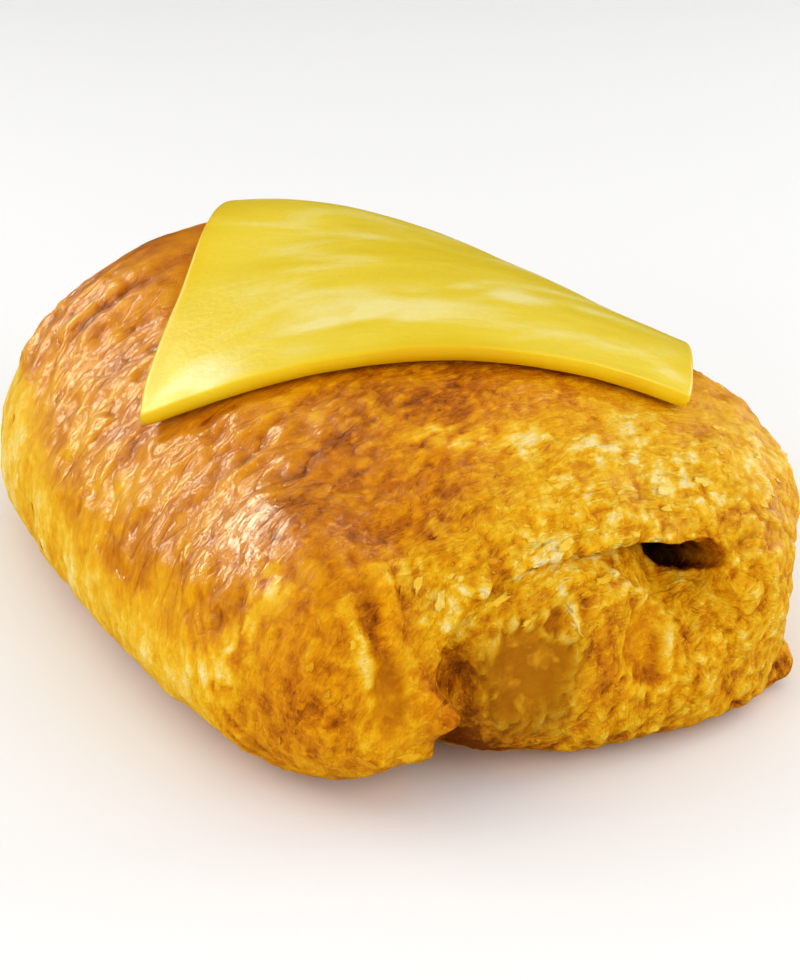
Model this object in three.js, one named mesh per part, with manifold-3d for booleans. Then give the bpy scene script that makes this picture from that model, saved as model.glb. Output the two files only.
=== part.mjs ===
// A rolled sausage roll with a square slice of cheese draped over it.
// Millimetres, +Z up. X runs across the roll and Y along it, with the open end of the
// coil at -Y. The origin is the middle of the bounding box, on the table the roll rests on.
//
// The baked pastry is one solid, made of the outer turn of the rolled sheet, hollowed at
// its open end, and the inner turn that shows in the hollow. Each turn is the zero surface
// of a function that is negative inside.

import * as THREE from 'three';
import { mergeVertices } from 'three/addons/utils/BufferGeometryUtils.js';
import Module from 'manifold-3d';

// ---- driving dimensions ---------------------------------------------------------------

// The loaf: half its width, its reach to the open end and to the far end, its height and
// the height of its widest level.
const loafHalfWidth = 55.6;
const loafNearReach = 73.5;
const loafFarReach = 78.1;
const loafHeight = 50.2;
const widestLevel = 12.7;
const bellyDepth = 15;
const upperPower = 2;
const lowerPower = 3;
const nearEndPower = 2.85;
const farEndPower = 3.3;
const taperToFarEnd = 0.11;
const loafShift = 3.2;
const crestLean = 7.5;
const baseRounding = 5;

// The three swellings where the rolled sheet is thickest.
const crest = { at: [-1.7, 42.1, 24.4], radii: [32.3, 22.9, 24.5], blend: 10 };
const shoulder = { at: [28.4, -35, 25], radii: [23.6, 23.7, 14.4], blend: 10 };
const foot = { at: [-33.8, -47.8, 16.1], radii: [9.1, 16.1, 20.2], blend: 8 };

// The corner of the sheet that sticks out as a point on the left.
const leftPoint = { from: [-31, -60, 16], to: [-25, -70, 15], thick: 6, thin: 1.2, blend: 4 };

// The hollow under the outer turn at the open end, and the notch beside the foot.
const hollow = { at: [1, -69, 12], radii: [25, 21, 20.5], power: 2.6 };
const notch = { at: [-15, -68, 1], radii: [9.5, 12, 10] };

// The inner turn: the end of the rolled sheet with its chin, the round of the coil beside
// it, the fold that closes the coil on the right, and the corner of the sheet that sticks
// out as a point there.
const tongue = { at: [-3.5, -52.5, 16.8], radii: [20.5, 20.5, 17.2], power: 2.6, yaw: -11 };
const chin = { at: [-0.5, -54, 5.5], radii: [15, 16, 9], power: 2.2, blend: 4 };
const bulge = { at: [19.5, -50, 8.5], radii: [23.5, 23.5, 17], power: 2.3, blend: 5 };
const fold = { at: [29.5, -56, 21], radii: [9.5, 14, 12], blend: 6 };
const rightPoint = { from: [27, -57, 6], to: [38.6, -65, 4], thick: 6, thin: 1.3, blend: 4 };

// The waist above the right-hand point.
const waist = { at: [54, -68, 14], radii: [13, 13, 10], blend: 4 };

// The far end: the outer turn closes over a shallow dimple, with the sheet's other edge
// as a low ridge beside it.
const dimple = { at: [8, 89, 26], radii: [14, 14, 10], blend: 8 };
const farEdge = { at: [-17, 59, 16], radii: [16, 17.5, 17], blend: 5 };

// The gap between the turns: a flat tapering pocket that slopes down into the roll.
const pocketMouth = [18.2, -82, 33.2];
const pocketEnd = [20.5, -46, 18];
const pocketHalfWidth = 6;
const pocketEndHalfWidth = 3.6;
const pocketFlatness = 0.5;

// The cheese: a square slice laid askew, its middle to the right of the crest line.
const sliceSide = 84;
const sliceThickness = 2.5;
const sliceTurn = -37.4;
const sliceMiddleAcross = 20.4;
const sliceMiddleAlong = 5.4;
const clearance = 0.35;

// ---- the pastry's surfaces as functions -----------------------------------------------

function smoothMin(a, b, k) {
  const h = THREE.MathUtils.clamp(0.5 + (0.5 * (b - a)) / k, 0, 1);
  return b + (a - b) * h - k * h * (1 - h);
}

function smoothMax(a, b, k) {
  return -smoothMin(-a, -b, k);
}

// A rounded box-like lump: an ellipsoid whose power sets how square it is.
function lump(p, { at, radii, power = 2, yaw = 0 }) {
  const turn = THREE.MathUtils.degToRad(yaw);
  const dx = p.x - at[0];
  const dy = p.y - at[1];
  const x = Math.abs((dx * Math.cos(turn) + dy * Math.sin(turn)) / radii[0]);
  const y = Math.abs((dy * Math.cos(turn) - dx * Math.sin(turn)) / radii[1]);
  const z = Math.abs((p.z - at[2]) / radii[2]);
  const reach = (x ** power + y ** power + z ** power) ** (1 / power);
  return (reach - 1) * Math.min(...radii);
}

// A round horn that narrows from one point to another.
function horn(p, { from, to, thick, thin }) {
  const start = new THREE.Vector3(...from);
  const axis = new THREE.Vector3(...to).sub(start);
  const offset = p.clone().sub(start);
  const t = THREE.MathUtils.clamp(offset.dot(axis) / axis.lengthSq(), 0, 1);
  return offset.addScaledVector(axis, -t).length() - (thick + (thin - thick) * t);
}

function loaf(p) {
  const along = p.y < 0 ? p.y / loafNearReach : p.y / loafFarReach;
  const up = p.z - widestLevel;
  const level = up > 0 ? up / (loafHeight - widestLevel) : up / bellyDepth;
  const power = up > 0 ? upperPower : lowerPower;
  const halfWidth = loafHalfWidth * (1 - (taperToFarEnd * (along + 1)) / 2);
  const lean = crestLean * THREE.MathUtils.clamp(level, 0, 1.3) ** 2;
  const across = (p.x - loafShift - lean) / halfWidth;
  const ring = (Math.abs(across) ** power + Math.abs(level) ** power) ** (1 / power);
  const endPower = along < 0 ? nearEndPower : farEndPower;
  return ((Math.abs(along) ** endPower + ring ** endPower) ** (1 / endPower) - 1) * 40;
}

// The outer turn: everything outside the hollow.
function outerTurn(p) {
  let f = loaf(p);
  for (const swelling of [crest, shoulder, foot, farEdge]) {
    f = smoothMin(f, lump(p, swelling), swelling.blend);
  }
  f = smoothMin(f, horn(p, leftPoint), leftPoint.blend);
  f = smoothMax(f, -lump(p, dimple), dimple.blend);
  f = smoothMax(f, -lump(p, waist), waist.blend);
  return smoothMax(f, -p.z, baseRounding);
}

// The inner turn: what shows inside the hollow.
function innerTurn(p) {
  let f = lump(p, tongue);
  for (const part of [chin, bulge, fold]) {
    f = smoothMin(f, lump(p, part), part.blend);
  }
  f = smoothMax(f, -lump(p, waist), waist.blend);
  f = smoothMin(f, horn(p, rightPoint), rightPoint.blend);
  return smoothMax(f, -p.z, baseRounding);
}

// ---- the pastry solid -----------------------------------------------------------------

const wasm = await Module();
wasm.setup();

function toSolid(geometry) {
  geometry.deleteAttribute('normal');
  geometry.deleteAttribute('uv');
  const merged = mergeVertices(geometry, 1e-3);
  return new wasm.Manifold(new wasm.Mesh({
    numProp: 3,
    vertProperties: new Float32Array(merged.attributes.position.array),
    triVerts: new Uint32Array(merged.index.array),
  }));
}

function toGeometry(solid) {
  const mesh = solid.getMesh();
  const geometry = new THREE.BufferGeometry();
  geometry.setAttribute('position', new THREE.BufferAttribute(mesh.vertProperties, 3));
  geometry.setIndex(new THREE.BufferAttribute(mesh.triVerts, 1));
  return geometry;
}

// The outermost point of a surface in one direction from a point within it.
function surfaceFrom(surface, centre, direction) {
  const at = (r) => centre.clone().addScaledVector(direction, r);
  let outside = 120;
  while (surface(at(outside - 0.5)) > 0) {
    outside -= 0.5;
  }
  let inside = outside - 0.5;
  for (let i = 0; i < 20; i += 1) {
    const middle = (inside + outside) / 2;
    if (surface(at(middle)) > 0) {
      outside = middle;
    } else {
      inside = middle;
    }
  }
  return at(inside);
}

// A globe with its poles on the roll's axis, each of its points moved out to a surface.
// Crowding draws the rings towards the open end.
function globeOn(surface, centre, around, rings, crowding) {
  const globe = new THREE.SphereGeometry(1, around, rings);
  const position = globe.attributes.position;
  const point = new THREE.Vector3();
  for (let i = 0; i < position.count; i += 1) {
    point.fromBufferAttribute(position, i);
    const side = Math.hypot(point.x, point.z);
    const angle = Math.atan2(side, point.y);
    const crowded = angle + crowding * Math.sin(angle);
    const spread = side > 1e-6 ? Math.sin(crowded) / side : 0;
    const direction = new THREE.Vector3(point.x * spread, Math.cos(crowded), point.z * spread);
    const found = surfaceFrom(surface, centre, direction.normalize());
    position.setXYZ(i, found.x, found.y, Math.abs(found.z) < 0.01 ? 0 : found.z);
  }
  return toSolid(globe);
}

// The pocket's cutter: a tapered cylinder, flattened, laid along the pocket's slope.
function pocketCutter() {
  const mouth = new THREE.Vector3(...pocketMouth);
  const end = new THREE.Vector3(...pocketEnd);
  const slope = mouth.clone().sub(end);
  const cutter = new THREE.CylinderGeometry(
    pocketHalfWidth, pocketEndHalfWidth, slope.length(), 20,
  );
  cutter.scale(1, 1, pocketFlatness);
  const turn = new THREE.Matrix4();
  const forward = slope.normalize();
  const side = new THREE.Vector3().crossVectors(forward, new THREE.Vector3(0, 0, 1)).normalize();
  const up = new THREE.Vector3().crossVectors(side, forward);
  turn.makeBasis(side, forward, up);
  cutter.applyMatrix4(turn);
  cutter.translate(...mouth.add(end).multiplyScalar(0.5).toArray());
  return cutter;
}

const outerSolid = globeOn(outerTurn, new THREE.Vector3(0, -10, 20), 60, 46, 0.15);
const hollowSolid = globeOn((p) => lump(p, hollow), new THREE.Vector3(...hollow.at), 28, 20, 0);
const notchSolid = globeOn((p) => lump(p, notch), new THREE.Vector3(...notch.at), 20, 14, 0);
const innerSolid = globeOn(innerTurn, new THREE.Vector3(5, -50, 12), 40, 28, 0.2);
const pastryGeometry = toGeometry(
  outerSolid
    .subtract(hollowSolid)
    .subtract(notchSolid)
    .add(innerSolid)
    .subtract(toSolid(pocketCutter())),
);

// ---- the cheese solid -----------------------------------------------------------------

function slope(p) {
  const step = 0.01;
  const along = (axis) => {
    const ahead = p.clone();
    const behind = p.clone();
    ahead[axis] += step;
    behind[axis] -= step;
    return (outerTurn(ahead) - outerTurn(behind)) / (2 * step);
  };
  return new THREE.Vector3(along('x'), along('y'), along('z'));
}

// Walks a distance over the pastry in the plane of one level axis and Z, and hangs
// straight down once the surface under the slice turns away beneath it.
function walk(start, axis, distance) {
  const paces = Math.max(1, Math.ceil(Math.abs(distance)));
  const pace = distance / paces;
  const p = start.clone();
  let hanging = false;
  for (let i = 0; i < paces; i += 1) {
    const g = slope(p);
    const run = g[axis];
    if (hanging || g.z < 0.02 * Math.abs(run)) {
      hanging = true;
      p.z -= Math.abs(pace);
      continue;
    }
    const length = Math.hypot(run, g.z);
    p[axis] += (pace * g.z) / length;
    p.z -= (pace * run) / length;
    const here = slope(p);
    const away = outerTurn(p) / (here[axis] ** 2 + here.z ** 2);
    p[axis] -= away * here[axis];
    p.z -= away * here.z;
  }
  return p;
}

// A flat slab in many small squares, each corner laid on the pastry by walking along the
// crest and then around the roll, so that the slice bends without stretching.
function cheeseShell() {
  const squares = 22;
  const slab = new THREE.BoxGeometry(sliceSide, sliceSide, sliceThickness, squares, squares, 1);
  slab.rotateZ(THREE.MathUtils.degToRad(sliceTurn));
  slab.translate(sliceMiddleAcross, sliceMiddleAlong, 0);
  const top = surfaceFrom(outerTurn, new THREE.Vector3(0, 0, 20), new THREE.Vector3(0, 0, 1));
  const position = slab.attributes.position;
  const point = new THREE.Vector3();
  for (let i = 0; i < position.count; i += 1) {
    point.fromBufferAttribute(position, i);
    const onCrest = walk(top, 'y', point.y);
    const laid = walk(onCrest, 'x', point.x);
    const lift = clearance + sliceThickness / 2 + point.z;
    const outward = slope(laid);
    outward.z = Math.max(outward.z, 0);
    laid.addScaledVector(outward.normalize(), lift);
    position.setXYZ(i, laid.x, laid.y, laid.z);
  }
  return slab;
}

const cheeseGeometry = toGeometry(toSolid(cheeseShell()));

// ---- the model ------------------------------------------------------------------------

const pastryMaterial = new THREE.MeshStandardMaterial({
  color: 0xc8811e, roughness: 0.5, metalness: 0,
});
const cheeseMaterial = new THREE.MeshStandardMaterial({
  color: 0xe8c52c, roughness: 0.4, metalness: 0,
});

const pastryRoll = new THREE.Mesh(pastryGeometry, pastryMaterial);
pastryRoll.name = 'pastry_roll';

const cheeseSlice = new THREE.Mesh(cheeseGeometry, cheeseMaterial);
cheeseSlice.name = 'cheese_slice';

const sausageRoll = new THREE.Group();
sausageRoll.add(pastryRoll, cheeseSlice);

const box = new THREE.Box3().setFromObject(sausageRoll);
const middle = box.getCenter(new THREE.Vector3());
sausageRoll.position.set(-middle.x, -middle.y, 0);
sausageRoll.updateMatrixWorld(true);

export default sausageRoll;
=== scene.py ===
from itertools import product

import bpy
import numpy as np
from mathutils import Matrix, Vector
from mathutils.bvhtree import BVHTree


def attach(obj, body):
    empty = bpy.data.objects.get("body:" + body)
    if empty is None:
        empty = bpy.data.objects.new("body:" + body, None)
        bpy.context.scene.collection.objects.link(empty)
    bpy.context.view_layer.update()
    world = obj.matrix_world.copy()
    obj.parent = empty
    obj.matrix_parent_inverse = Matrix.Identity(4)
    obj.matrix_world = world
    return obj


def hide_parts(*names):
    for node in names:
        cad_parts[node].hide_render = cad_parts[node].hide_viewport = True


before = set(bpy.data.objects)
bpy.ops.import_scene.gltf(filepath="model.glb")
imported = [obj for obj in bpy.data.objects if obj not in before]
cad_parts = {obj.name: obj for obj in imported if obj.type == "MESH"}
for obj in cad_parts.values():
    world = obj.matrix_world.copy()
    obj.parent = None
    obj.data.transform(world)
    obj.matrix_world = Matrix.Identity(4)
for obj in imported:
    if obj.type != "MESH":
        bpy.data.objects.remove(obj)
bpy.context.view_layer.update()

# Shapes are worked out in millimetres in the modelling frame, in which the roll's middle is
# a few millimetres off the row's origin. SHIFT takes a point from one to the other.
SHIFT = np.array([-4.304, -2.513, 0.0])


def to_row(points):
    return (np.asarray(points, float) + SHIFT) / 1000.0


# ---- the pastry's surface as a function, negative inside ------------------------------

LOAF = dict(half_width=55.6, near=73.5, far=78.1, height=50.2, widest=12.7, belly=15.0,
            upper=2.0, lower=3.0, near_power=2.85, far_power=3.3, taper=0.11, shift=3.2,
            lean=7.5)
SWELLINGS = [dict(at=(-1.7, 42.1, 24.4), radii=(32.3, 22.9, 24.5), blend=10),
             dict(at=(28.4, -35, 25), radii=(23.6, 23.7, 14.4), blend=10),
             dict(at=(-33.8, -47.8, 16.1), radii=(9.1, 16.1, 20.2), blend=8),
             dict(at=(-17, 59, 16), radii=(16, 17.5, 17), blend=5)]
LEFT_POINT = dict(a=(-31, -60, 16), b=(-25, -70, 15), thick=6, thin=1.2, blend=4)
HOLLOW = dict(at=(1, -69, 12), radii=(25, 21, 20.5), power=2.6)
NOTCH = dict(at=(-15, -68, 1), radii=(9.5, 12, 10))
TONGUE = dict(at=(-3.5, -52.5, 16.8), radii=(20.5, 20.5, 17.2), power=2.6, yaw=-11)
CHIN = dict(at=(-0.5, -54, 5.5), radii=(15, 16, 9), power=2.2, blend=4)
BULGE = dict(at=(19.5, -50, 8.5), radii=(23.5, 23.5, 17), power=2.3, blend=5)
FOLD = dict(at=(29.5, -56, 21), radii=(9.5, 14, 12), blend=6)
RIGHT_POINT = dict(a=(27, -57, 6), b=(38.6, -65, 4), thick=6, thin=1.3, blend=4)
WAIST = dict(at=(54, -68, 14), radii=(13, 13, 10), blend=4)
DIMPLE = dict(at=(8, 89, 26), radii=(14, 14, 10), blend=8)
POCKET = dict(a=(18.8, -82, 33.7), b=(20.5, -46, 19), thick=3.9, thin=3.2, flat=0.46)
SEAM = 1.4


def smooth_min(a, b, k):
    h = np.clip(0.5 + 0.5 * (b - a) / k, 0, 1)
    return b + (a - b) * h - k * h * (1 - h)


def smooth_max(a, b, k):
    return -smooth_min(-a, -b, k)


def lump(p, at, radii, power=2.0, yaw=0.0, blend=0):
    turn = np.radians(yaw)
    dx, dy, dz = (p - np.array(at, float)).T
    x = np.abs(dx * np.cos(turn) + dy * np.sin(turn)) / radii[0]
    y = np.abs(dy * np.cos(turn) - dx * np.sin(turn)) / radii[1]
    z = np.abs(dz) / radii[2]
    return ((x ** power + y ** power + z ** power) ** (1 / power) - 1) * min(radii)


def horn(p, a, b, thick, thin, flat=1.0, blend=0):
    squash = np.array([1, 1, 1 / flat])
    start = np.array(a, float) * squash
    axis = np.array(b, float) * squash - start
    offset = p * squash - start
    t = np.clip(offset @ axis / (axis @ axis), 0, 1)
    away = np.linalg.norm(offset - t[:, None] * axis, axis=1)
    return away - (thick + (thin - thick) * t)


def loaf(p):
    x, y, z = p.T
    along = np.where(y < 0, y / LOAF["near"], y / LOAF["far"])
    up = z - LOAF["widest"]
    above = up > 0
    level = np.where(above, up / (LOAF["height"] - LOAF["widest"]), up / LOAF["belly"])
    power = np.where(above, LOAF["upper"], LOAF["lower"])
    half_width = LOAF["half_width"] * (1 - LOAF["taper"] * (along + 1) / 2)
    across = (x - LOAF["shift"] - LOAF["lean"] * np.clip(level, 0, 1.3) ** 2) / half_width
    ring = (np.abs(across) ** power + np.abs(level) ** power) ** (1 / power)
    end = np.where(along < 0, LOAF["near_power"], LOAF["far_power"])
    return ((np.abs(along) ** end + ring ** end) ** (1 / end) - 1) * 40.0


def outer_turn(p):
    f = loaf(p)
    for swelling in SWELLINGS:
        f = smooth_min(f, lump(p, **swelling), swelling["blend"])
    f = smooth_min(f, horn(p, **LEFT_POINT), LEFT_POINT["blend"])
    return smooth_max(f, -lump(p, **DIMPLE), DIMPLE["blend"])


def slice_bed(p):
    """What the cheese lies on: the outer turn alone, with its waist."""
    f = smooth_max(outer_turn(p), -lump(p, **WAIST), WAIST["blend"])
    return smooth_max(f, -p[:, 2], 5)


def pocket(p):
    """The gap between the turns, which slopes down to the right."""
    return horn(p + np.outer(p[:, 0] - POCKET["a"][0], (0, 0, 0.28)), **POCKET)


def pastry(p):
    f = smooth_max(outer_turn(p), -lump(p, **HOLLOW), SEAM)
    f = smooth_max(f, -lump(p, **NOTCH), SEAM)
    inner = lump(p, **TONGUE)
    for part in (CHIN, BULGE):
        inner = smooth_min(inner, lump(p, **part), part["blend"])
    f = smooth_min(f, inner, SEAM)
    f = smooth_min(f, lump(p, **FOLD), FOLD["blend"])
    f = smooth_max(f, -lump(p, **WAIST), WAIST["blend"])
    f = smooth_min(f, horn(p, **RIGHT_POINT), RIGHT_POINT["blend"])
    f = smooth_max(f, -pocket(p), 0.8)
    return smooth_max(f, -p[:, 2], 5)


def gradient(surface, p, step=0.02):
    g = np.empty_like(p)
    for k in range(3):
        nudge = np.zeros(3)
        nudge[k] = step
        g[:, k] = (surface(p + nudge) - surface(p - nudge)) / (2 * step)
    return g


# ---- surface extraction ---------------------------------------------------------------


def sample(surface, axes, coarse=4, reach=9.0):
    """The surface's values on a grid. Every fourth point comes first, and the others are
    worked out only near the surface."""
    shape = [len(a) for a in axes]
    picks = [np.minimum(np.arange(0, n + coarse - 1, coarse), n - 1) for n in shape]
    grid = np.stack(np.meshgrid(*[a[i] for a, i in zip(axes, picks)], indexing="ij"), -1)
    rough = surface(grid.reshape(-1, 3)).reshape(grid.shape[:3])
    near = [np.minimum((np.arange(n) + coarse // 2) // coarse, len(i) - 1)
            for n, i in zip(shape, picks)]
    values = rough[np.ix_(*near)].astype(float)
    close = np.argwhere(np.abs(values) < reach)
    points = np.stack([axes[k][close[:, k]] for k in range(3)], 1)
    values[tuple(close.T)] = surface(points)
    return values


def surface_nets(surface, axes):
    """One vertex in each grid cell that the surface crosses, and a quad across each grid
    edge that it cuts, then two steps of each vertex onto the surface."""
    values = sample(surface, axes)
    n = values.shape
    inside = values < 0
    count = sum(inside[i:n[0] - 1 + i, j:n[1] - 1 + j, k:n[2] - 1 + k].astype(np.int8)
                for i, j, k in product((0, 1), repeat=3))
    crossed = (count > 0) & (count < 8)
    cells = np.argwhere(crossed)
    index = np.full(crossed.shape, -1)
    index[crossed] = np.arange(len(cells))
    total = np.zeros((len(cells), 3))
    hits = np.zeros(len(cells))
    for corner in product((0, 1), repeat=3):
        for k in range(3):
            if corner[k]:
                continue
            other = list(corner)
            other[k] = 1
            va = values[tuple((cells + corner).T)]
            vb = values[tuple((cells + other).T)]
            cut = (va < 0) != (vb < 0)
            at = np.array(corner, float) + np.zeros((len(cells), 3))
            at[:, k] += np.where(cut, va / np.where(cut, va - vb, 1), 0)
            total[cut] += at[cut]
            hits[cut] += 1
    place = cells + total / hits[:, None]
    verts = np.stack([np.interp(place[:, k], np.arange(n[k]), axes[k]) for k in range(3)], 1)
    quads = []
    for k in range(3):
        low = [slice(None)] * 3
        high = [slice(None)] * 3
        low[k] = slice(0, -1)
        high[k] = slice(1, None)
        a, b = inside[tuple(low)], inside[tuple(high)]
        edge = np.argwhere(a != b)
        others = [m for m in range(3) if m != k]
        for m in others:
            edge = edge[(edge[:, m] > 0) & (edge[:, m] < n[m] - 1)]
        leaving = a[tuple(edge.T)]
        ring = []
        for du, dv in ((0, 0), (-1, 0), (-1, -1), (0, -1)):
            cell = edge.copy()
            cell[:, others[0]] += du
            cell[:, others[1]] += dv
            ring.append(index[tuple(cell.T)])
        ring = np.stack(ring, 1)
        outward = leaving if k != 1 else ~leaving
        ring[~outward] = ring[~outward][:, ::-1]
        quads.append(ring)
    quads = np.concatenate(quads)
    for _ in range(2):
        g = gradient(surface, verts)
        steep = np.maximum((g ** 2).sum(1), 0.05)
        move = -(surface(verts) / steep)[:, None] * g
        length = np.linalg.norm(move, axis=1, keepdims=True)
        verts = verts + move * np.minimum(1, 0.4 / np.maximum(length, 1e-9))
    return verts, quads


def vertex_normals(verts, quads):
    face = np.cross(verts[quads[:, 2]] - verts[quads[:, 0]],
                    verts[quads[:, 3]] - verts[quads[:, 1]])
    normals = np.stack([sum(np.bincount(quads[:, c], face[:, k], len(verts))
                            for c in range(4)) for k in range(3)], 1)
    return normals / np.maximum(np.linalg.norm(normals, axis=1, keepdims=True), 1e-9)


def relax(values, quads, rounds=1):
    """Averages a number at each vertex with its neighbours'."""
    for _ in range(rounds):
        total = np.zeros(len(values))
        hits = np.zeros(len(values))
        for c in range(4):
            a, b = quads[:, c], quads[:, (c + 1) % 4]
            total += np.bincount(a, values[b], len(values))
            total += np.bincount(b, values[a], len(values))
            hits += np.bincount(a, minlength=len(values))
            hits += np.bincount(b, minlength=len(values))
        values = 0.5 * values + 0.5 * total / np.maximum(hits, 1)
    return values


# ---- noise ----------------------------------------------------------------------------

RNG = np.random.default_rng(11)
DIRECTIONS = RNG.normal(size=(256, 3))
DIRECTIONS /= np.linalg.norm(DIRECTIONS, axis=1, keepdims=True)
SCATTER = RNG.random((256, 3))


def cell_hash(cell, seed):
    h = cell[:, 0] * 73856093 ^ cell[:, 1] * 19349663 ^ cell[:, 2] * 83492791
    h = (h + seed * 374761393) & 0x7FFFFFFF
    h = ((h ^ (h >> 13)) * 1274126177) & 0x7FFFFFFF
    return (h ^ (h >> 16)) & 255


def noise(p, seed=0):
    """Smooth noise, about -1 to 1."""
    cell = np.floor(p).astype(np.int64)
    inner = p - cell
    w = inner ** 3 * (inner * (inner * 6 - 15) + 10)
    total = np.zeros(len(p))
    for corner in product((0, 1), repeat=3):
        slope = DIRECTIONS[cell_hash(cell + corner, seed)]
        share = np.prod(np.where(np.array(corner), w, 1 - w), axis=1)
        total += share * ((inner - corner) * slope).sum(1)
    return total * 1.6


def fractal(p, octaves=3, seed=0):
    total = np.zeros(len(p))
    for k in range(octaves):
        total += noise(p * 2.0 ** k, seed + k) / 2.0 ** k
    return total


def cellular(p, seed=0):
    """Distance to the nearest of one scattered point per cell."""
    cell = np.floor(p).astype(np.int64)
    best = np.full(len(p), 9.0)
    for corner in product((-1, 0, 1), repeat=3):
        there = cell + corner
        point = there + SCATTER[cell_hash(there, seed)]
        best = np.minimum(best, ((p - point) ** 2).sum(1))
    return np.sqrt(best)


def ease(low, high, x):
    t = np.clip((x - low) / (high - low), 0, 1)
    return t * t * (3 - 2 * t)


def stroke(p, points, width):
    """1 on a line through points, fading to 0 over a width."""
    points = np.array(points, float)
    best = np.full(len(p), 1e9)
    for a, b in zip(points[:-1], points[1:]):
        t = np.clip((p - a) @ (b - a) / ((b - a) @ (b - a)), 0, 1)
        best = np.minimum(best, np.linalg.norm(p - a - t[:, None] * (b - a), axis=1))
    return np.exp(-(best / width) ** 2)


def spot(p, at, radii, power=2.0):
    """1 in the middle of an oval, fading to 0 at about its edge."""
    d = (np.abs((p - np.array(at, float)) / np.array(radii, float)) ** power).sum(1)
    return np.exp(-d)


# ---- meshes ---------------------------------------------------------------------------


def add_mesh(name, verts, faces):
    mesh = bpy.data.meshes.new(name)
    verts = np.asarray(verts, np.float32)
    faces = np.asarray(faces, np.int32)
    size = faces.shape[1]
    mesh.vertices.add(len(verts))
    mesh.vertices.foreach_set("co", verts.ravel())
    mesh.loops.add(faces.size)
    mesh.loops.foreach_set("vertex_index", faces.ravel())
    mesh.polygons.add(len(faces))
    mesh.polygons.foreach_set("loop_start", np.arange(0, faces.size, size, dtype=np.int32))
    mesh.polygons.foreach_set("use_smooth", np.full(len(faces), True))
    mesh.update(calc_edges=True)
    mesh.validate()
    obj = bpy.data.objects.new(name, mesh)
    bpy.context.scene.collection.objects.link(obj)
    return obj


def add_value(obj, name, values):
    layer = obj.data.attributes.new(name, "FLOAT", "POINT")
    layer.data.foreach_set("value", np.asarray(values, np.float32))


def add_vector(obj, name, values):
    layer = obj.data.attributes.new(name, "FLOAT_VECTOR", "POINT")
    layer.data.foreach_set("vector", np.asarray(values, np.float32).ravel())


# ---- the cheese slice -----------------------------------------------------------------

SLICE_SIDE = 84.0
SLICE_THICKNESS = 2.5
SLICE_TURN = -37.4
SLICE_MIDDLE = (20.4, 5.4)
CLEARANCE = 0.35


def walk(points, axis, distance):
    """Walks each point its own distance over the slice's bed in the plane of one level
    axis and Z. It hangs straight down once the bed turns away under it."""
    p = points.copy()
    paces = int(np.ceil(np.abs(distance).max()))
    pace = distance / paces
    hanging = np.zeros(len(p), bool)
    for _ in range(paces):
        g = gradient(slice_bed, p)
        hanging |= g[:, 2] < 0.02 * np.abs(g[:, axis])
        length = np.hypot(g[:, axis], g[:, 2])
        on = ~hanging
        p[on, axis] += (pace * g[:, 2] / length)[on]
        p[on, 2] -= (pace * g[:, axis] / length)[on]
        p[hanging, 2] -= np.abs(pace[hanging])
        away = slice_bed(p) / length ** 2
        p[on, axis] -= (away * g[:, axis])[on]
        p[on, 2] -= (away * g[:, 2])[on]
    return p


def lay_slice(cells=42):
    """Places and outward directions of the slice's underside on a square grid."""
    side = np.linspace(-0.5, 0.5, cells + 1) * SLICE_SIDE
    u, v = [a.ravel() for a in np.meshgrid(side, side, indexing="ij")]
    turn = np.radians(SLICE_TURN)
    across = u * np.cos(turn) - v * np.sin(turn) + SLICE_MIDDLE[0]
    along = u * np.sin(turn) + v * np.cos(turn) + SLICE_MIDDLE[1]
    top = np.zeros((len(u), 3))
    top[:, 2] = 55.0
    for _ in range(12):
        top[:, 2] -= slice_bed(top) / gradient(slice_bed, top)[:, 2]
    laid = walk(walk(top, 1, along), 0, across)
    outward = gradient(slice_bed, laid)
    outward[:, 2] = np.maximum(outward[:, 2], 0)
    outward /= np.linalg.norm(outward, axis=1, keepdims=True)
    shape = (cells + 1, cells + 1, 3)
    return laid.reshape(shape), outward.reshape(shape)


def between(grid, u, v):
    """Smooth interpolation in a square grid, at u and v from 0 to 1."""
    n = grid.shape[0] - 1

    def weights(x):
        at = np.clip(x * n, 0, n - 1e-6)
        i = at.astype(int)
        t = at - i
        w = np.stack([-0.5 * t + t ** 2 - 0.5 * t ** 3, 1 - 2.5 * t ** 2 + 1.5 * t ** 3,
                      0.5 * t + 2 * t ** 2 - 1.5 * t ** 3, -0.5 * t ** 2 + 0.5 * t ** 3], 1)
        return np.clip(i[:, None] + np.arange(-1, 3), 0, n), w

    iu, wu = weights(u)
    iv, wv = weights(v)
    out = np.zeros((len(u), grid.shape[2]))
    for a in range(4):
        for b in range(4):
            out += (wu[:, a] * wv[:, b])[:, None] * grid[iu[:, a], iv[:, b]]
    return out


LAID, OUTWARD = lay_slice()

CHEESE_ROWS = 150
EDGE_ROUNDING = 1.25            # how far in from its edge the slice starts to thin
ROUND_POWER = 2.4
CORNER_ROUNDING = 0.017         # how much of the half side each corner loses
CORNER_PULL = 2.2               # how far the near-left corner is drawn out
CORNER_REACH = 24.0             # how far from the corner that reaches
# Pale patches of painted glare, standing in for soft highlights: how far along the near edge, how
# far in from it, and two radii, in mm.
GLARE_SPOTS = [(5, 4, 6, 5), (30, 13, 12, 3.5), (52, 21, 11, 4), (79, 4, 5, 5)]


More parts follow.
